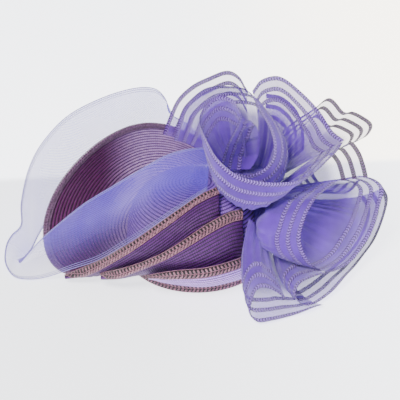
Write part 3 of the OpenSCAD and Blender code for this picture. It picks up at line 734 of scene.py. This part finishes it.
class Strip:
    """A band beside the first edge of a sheet. place() turns run, distance from the edge and height
    into points."""

    def __init__(self, paths, width, side=-1.0):
        u, self.run = even_u(paths, 0.0, 1.0)
        self.near = np.arange(0, width + 0.6, 0.5)
        points, dist = by_distance(paths, u, self.near, 4)
        keep = len(self.near)
        self.normal = grid_normals(points)[:, :keep] * side
        self.points = points[:, :keep]
        self.out = unit(points[:, :1] - points[:, 2:3])
        self.length = self.run[-1]
        self.share = np.minimum(1, 0.8 * dist[:, -1] / self.near[-1])

    def size(self, s):
        return np.interp(s, self.run, self.share)

    def taper(self, s):
        """Share of the full width: the band narrows to a tail where it starts."""
        return np.clip(0.3 + s / 34, 0, 1)

    def sample(self, grid, s, d):
        i = np.interp(s, self.run, np.arange(len(self.run)))
        j = np.clip(d / 0.5, 0, len(self.near) - 1)
        i0 = np.minimum(i.astype(int), len(self.run) - 2)
        j0 = np.minimum(j.astype(int), len(self.near) - 2)
        fi, fj = (i - i0)[:, None], (j - j0)[:, None]
        return (
            grid[i0, j0] * (1 - fi) * (1 - fj) + grid[i0 + 1, j0] * fi * (1 - fj)
            + grid[i0, j0 + 1] * (1 - fi) * fj + grid[i0 + 1, j0 + 1] * fi * fj
        )

    def place(self, s, d, h):
        s, d, h = np.broadcast_arrays(np.asarray(s, float), d, h)
        normal = unit(self.sample(self.normal, s, d))
        beyond = np.minimum(d, 0)[:, None]
        nearest = np.round(np.interp(s, self.run, np.arange(len(self.run)))).astype(int)
        out = self.out[nearest, 0]
        return self.sample(self.points, s, np.maximum(d, 0)) - out * beyond + normal * h[:, None], normal


class Hoop:
    """The same for the hem: a band round the crown, measured down from its top edge."""

    def __init__(self, radius, top):
        self.radius, self.top, self.length = radius, top, 2 * np.pi * radius

    def size(self, s):
        return np.ones_like(s)

    def taper(self, s):
        return np.ones_like(s)

    def place(self, s, d, h):
        s, d, h = np.broadcast_arrays(np.asarray(s, float), d, h)
        a = s / self.radius
        normal = np.stack([np.cos(a), np.sin(a), 0 * a], 1)
        return normal * (self.radius + h)[:, None] + np.stack([0 * a, 0 * a, self.top - d], 1), normal


STITCH_PITCH = 3.7
STITCH_SHAPE = np.array([0.5, 0.9, 1.0, 0.9, 0.5])


def stitch_row(bundle, strip, middle, half, lean, thick, base):
    """Plump slanted stitches side by side, one row of a gimp braid."""
    count = round(strip.length / STITCH_PITCH)
    for s in (np.arange(count) + 0.5) * strip.length / count:
        t = np.linspace(-1, 1, 5)
        where = np.clip(s + lean * t, 0, strip.length)
        centre, up = strip.place(where, (middle + half * t) * strip.taper(where), base + 0.3 * (1 - t**2))
        size = STITCH_SHAPE * strip.size(where) * strip.taper(where)
        bundle.tube(centre, up, thick, thick * 0.85, size=size)


def braid_rows(bundle, strip, closed=False, width=10.0, base=0.5):
    """Sewn gimp braid: two rows of stitches leaning opposite ways, with cords along and between them."""
    stitch_row(bundle, strip, width * 0.29, 1.6, 1.0, 0.92, base + 0.3)
    stitch_row(bundle, strip, width * 0.73, 1.6, -1.0, 0.92, base + 0.3)
    s = np.linspace(0, strip.length, int(strip.length), endpoint=not closed)
    for d, radius in ((0.3, 0.3), (width * 0.51, 0.34), (width - 0.35, 0.4)):
        centre, up = strip.place(s, d * strip.taper(s), base + 0.15)
        bundle.tube(centre, up, radius, radius, closed=closed, size=strip.size(s))


def tape(name, strip, width, low, high, steps):
    """Flat tape that the braid's strands are sewn on."""
    s = np.linspace(0, strip.length, steps)
    d = np.linspace(0.3, width - 0.2, 8)
    ss, dd = np.meshgrid(s, d, indexing="ij")
    across = dd.ravel() * strip.taper(ss.ravel())
    faces = [strip.place(ss.ravel(), across, h)[0].reshape(steps, 8, 3) for h in (high, low)]
    uv = np.stack([ss, dd], -1) * MM
    return shell_grid(name, faces[0], faces[1], uv)


def build_trim(name, paths, node):
    strip = Strip(paths, BRAID_W + 1)
    lift = PLEAT_T / 2 + GAP
    bundle = Bundle()
    braid_rows(bundle, strip, base=lift + 0.2)
    dress(bundle.build(name), BRAID, [node])
    dress(tape(name + "_tape", strip, BRAID_W, lift - 0.25, lift + 0.3, 160), TAPE_SHADE)


def build_hem():
    hoop = Hoop(CROWN_R + GAP, HEM_H)
    bundle = Bundle()
    braid_rows(bundle, hoop, closed=True, base=0.7)
    dress(bundle.build("hem_plait"), BRAID, ["hem_braid"])
    dress(tape("hem_tape", hoop, HEM_H, 0.05, 0.8, 241), TAPE_SHADE)


def build_binding(paths):
    """Crossed strands wrapped over the wired edge of the brim."""
    strip = Strip(paths, 8)
    bundle = Bundle()
    turns = int(strip.length / 8.5)
    for way in (1, -1):
        for k in range(3):
            t = np.linspace(0, 2 * np.pi * turns, turns * 16)
            w = way * (t + 2 * np.pi * k / 3)
            s = t / (2 * np.pi) * strip.length / turns
            centre, up = strip.place(s, 1.6 - 2.7 * np.cos(w), 1.6 * np.sin(w))
            bundle.tube(centre, up, 0.7, 0.55)
    for side in (1, -1):
        s = np.linspace(0, strip.length, int(strip.length))
        centre, up = strip.place(s, 4.9 + 0 * s, side * 1.25)
        bundle.tube(centre, up, 0.55, 0.5)
    dress(bundle.build("brim_edge_braid"), BINDING, ["brim_binding"])


# ---------------------------------------------------------------- crin and flower

def build_crin():
    paths = [crin_low, halfway(crin_low, crin_high, [0, 0, 3]), crin_high]
    u, run = even_u(paths, 0.5, 2.2)
    points, dist = by_distance(paths, u, np.zeros(1), 34)
    depth = dist / dist[:, -1:]
    run = run[:, None]
    soft = 1.3 * np.sin(run / 19 + 3 * depth) * np.sin(run / 53) + 0.7 * np.sin(run / 8.3 + 5 * depth)
    points = points + grid_normals(points) * (soft * np.sin(np.pi * depth))[..., None]
    uv = np.stack([np.broadcast_to(run, dist.shape), depth * 78], -1) * MM
    piece = dress(make_grid("crin_mesh", points, uv), CRIN, ["crin_ribbon"])
    bundle = Bundle()
    normal = grid_normals(points)
    for column, radius in ((0, 0.45), (1, 0.28), (2, 0.22), (33, 0.28), (34, 0.45)):
        bundle.tube(points[:, column], normal[:, column], radius, radius, sides=5)
    edge = dress(bundle.build("crin_selvage"), SELVAGE)


def petals():
    """Each petal: name, CAD node, its three paths, material."""
    half = halfway
    return [
        ("heart_leaf", "rose_heart", [heart_rim, heart_belly, heart_root], ORGANZA),
        ("inner_ring", "rose_inner_petal", [inner_rim, inner_belly, inner_root], ORGANZA),
        ("outer_ring", "rose_outer_petal", [outer_rim, outer_belly, outer_root], ORGANZA),
        ("arch_leaf", "back_arch",
         [arch_rim, half(arch_rim, arch_root, [-4, 8, 4]), arch_root], ORGANZA_ARCH_SHADED),
        ("top_right_leaf", "top_right_petal",
         [top_right_rim, half(top_right_rim, top_right_root, [5, -3, 5]), top_right_root], ORGANZA),
        ("ripple_leaf", "far_right_ripple",
         [ripple_rim, half(ripple_rim, ripple_root, [3, 8, 0]), ripple_root], ORGANZA_SHADED),
        ("drop_leaf", "right_drop",
         [drop_rim, half(drop_rim, drop_root, [2, -4, 4]), drop_root], ORGANZA_SHADED),
        ("loop_leaf", "lower_right_loop", [loop_rim, loop_belly, loop_root], ORGANZA),
        ("curl_leaf", "lower_curl", [curl_rim, curl_belly, curl_root], ORGANZA_TURN_SHADED),
        ("fold_leaf", "bottom_fold", [fold_rim, fold_belly, fold_root], ORGANZA),
        ("rear_leaf_upper", "rear_petal_upper",
         [rear_upper_rim, half(rear_upper_rim, rear_upper_root, [2, 6, 0]), rear_upper_root], ORGANZA_SHADED),
        ("rear_leaf_lower", "rear_petal_lower",
         [rear_lower_rim, half(rear_lower_rim, rear_lower_root, [2, 2, -3]), rear_lower_root], ORGANZA_SHADED),
    ]


def build_core():
    """Padded core, gathered over with the same ribbon: shallow pleats run down from its top."""
    around, downwards = np.linspace(0, 2 * np.pi, 241), np.linspace(0.02, np.pi * 0.86, 90)
    turn, down = np.meshgrid(around, downwards, indexing="ij")
    lobes = ("core", CORE_AT, CORE_R, 34), ("core_low", CORE_LOW_AT, CORE_LOW_R, 22)
    for name, at, radius, pleats in lobes:
        wave = np.sin(pleats * turn + 1.5 * np.sin(3 * turn + 2 * down)) + 0.4 * np.sin(2.3 * pleats * turn)
        r = radius - 0.6 + 0.8 * wave * np.sin(down)
        outward = np.stack([np.sin(down) * np.cos(turn), np.sin(down) * np.sin(turn), np.cos(down)], -1)
        points = np.array(at) + outward * r[..., None]
        level = np.hypot(points[..., 0], points[..., 1]) / (CROWN_R + GAP)
        height = points[..., 2] / (CROWN_H + GAP)
        inside = (level**FULLNESS + np.clip(height, 0, None) ** FULLNESS) ** (1 / FULLNESS)
        push = np.where(inside < 1, 1 / np.maximum(inside, 0.2), 1)[..., None]
        points = points * push
        uv = np.stack([turn * radius, 40 + down * radius], -1) * MM
        dress(make_grid(name, points, uv), CORE, ["flower_base"] if name == "core" else [])


def build_flower():
    """The organza leaves. The area given is 1.15 times the modelled surface, not the ribbon's rectangle. The
    report has the real shares; most would fail."""
    for seed, (name, node, paths, material) in enumerate(petals()):
        piece, points, length, width = ribbon(name, paths, material, 1.7 * seed + 0.4, [node])


def finish_cad_nodes():
    """CAD nodes that already have the right shape keep it and get a real finish."""
    looks = {
        "sweatband": GROSGRAIN, "brim_wire": WIRE,
        "comb": CLEAR, "comb_stitches": THREAD, "clip_stitches": THREAD,
        "clip_base": STEEL, "clip_jaw": STEEL, "clip_pin": STEEL, "clip_spring": STEEL,
    }
    for node, material in looks.items():
        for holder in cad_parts[node].material_slots:
            holder.link = "OBJECT"
            holder.material = material


# ---------------------------------------------------------------- camera, floor and light

FLOOR_HALF = 3000
# Painted light: the floor glows, brighter to the right and at the back, with a warm tint at the back right.
GLOW, GLOW_RIGHT, GLOW_BACK = 2.0, 1.4, 1.8
WORLD_STRENGTH = 0.5


def build_stage():
    side = FLOOR_HALF
    corners = [[-side, -side, 0], [side, -side, 0], [side, side, 0], [-side, side, 0]]
    floor = make_object("floor", corners, [[0, 1, 2, 3]])
    n = Nodes("table")
    x, y = n.place()[:2]
    back = n.ramp(n.math("SUBTRACT", y, n.math("MULTIPLY", x, 0.1)), 0.155, 0.172)
    right = n.ramp(x, -0.1, 0.3)
    base = n.mix(n.noise(3.0), rgb(238, 238, 242), rgb(246, 246, 249))
    glow = n.mix(n.math("MULTIPLY", back, right), (0.93, 0.95, 1.0, 1), (1.0, 0.93, 0.78, 1))
    extra = n.math("ADD", n.math("MULTIPLY", right, GLOW_RIGHT), n.math("MULTIPLY", back, GLOW_BACK))
    strength = n.math("ADD", GLOW, extra)
    floor.data.materials.append(
        principled(n, Base_Color=base, Roughness=0.6, Emission_Color=glow, Emission_Strength=strength))


def area_light(name, place, target, size, power, colour):
    data = bpy.data.lights.new(name, "AREA")
    data.size, data.energy, data.color = size, power, colour
    light = bpy.data.objects.new(name, data)
    light.location = Vector(place)
    light.rotation_euler = (Vector(target) - light.location).to_track_quat("-Z", "Y").to_euler()
    bpy.context.scene.collection.objects.link(light)
    return light


def build_lights():
    world = bpy.data.worlds.new("soft_room")
    world.use_nodes = True
    world.node_tree.nodes["Background"].inputs[0].default_value = (0.93, 0.95, 1.0, 1)
    world.node_tree.nodes["Background"].inputs[1].default_value = WORLD_STRENGTH
    bpy.context.scene.world = world
    middle = (0.02, 0, 0.07)
    area_light("key", (-0.5, -0.7, 1.3), middle, 0.6, 27, (1.0, 0.98, 0.95))
    area_light("window", (0.9, 0.9, 0.9), middle, 0.9, 10, (0.95, 0.97, 1.0))


ELEVATION, DISTANCE, LENS = 32.0, 0.9, 81.0


def build_camera():
    data = bpy.data.cameras.new("front")
    data.lens, data.sensor_width, data.clip_start = LENS, 36, 0.01
    camera = bpy.data.objects.new("front", data)
    tilt = math.radians(ELEVATION)
    camera.location = Vector((0.003, -DISTANCE * math.cos(tilt), 0.06 + DISTANCE * math.sin(tilt)))
    camera.rotation_euler = (math.radians(90) - tilt, 0, 0)
    bpy.context.scene.collection.objects.link(camera)
    bpy.context.scene.camera = camera


def build_straw():
    build_crown()
    brim = brim_paths()
    straw_sheet("brim_straw", brim, PLEAT_T, STRAW_BRIM, ["brim_shell"])
    build_binding(brim)
    upper = [upper_top, halfway(upper_top, upper_foot, [-1, -5, 2]), upper_foot]
    middle = [middle_top, halfway(middle_top, middle_foot, [0, -5, 0]), middle_foot]
    lower = [lower_top, halfway(lower_top, lower_foot, [0, -5, 1]), lower_foot]
    straw_sheet("pleat_upper_straw", upper, PLEAT_T, STRAW_PLUM, ["pleat_upper"])
    straw_sheet("pleat_middle_straw", middle, PLEAT_T, STRAW_PLUM, ["pleat_middle"])
    straw_sheet("pleat_lower_straw", lower, PLEAT_T, STRAW_PALE_LIT, ["pleat_lower"])
    build_trim("trim_upper", upper, "braid_trim_upper")
    build_trim("trim_middle", middle, "braid_trim_middle")
    build_trim("trim_lower", lower, "braid_trim_lower")
    build_hem()


build_straw()
build_crin()
build_core()
build_flower()
finish_cad_nodes()
build_stage()
build_lights()
build_camera()
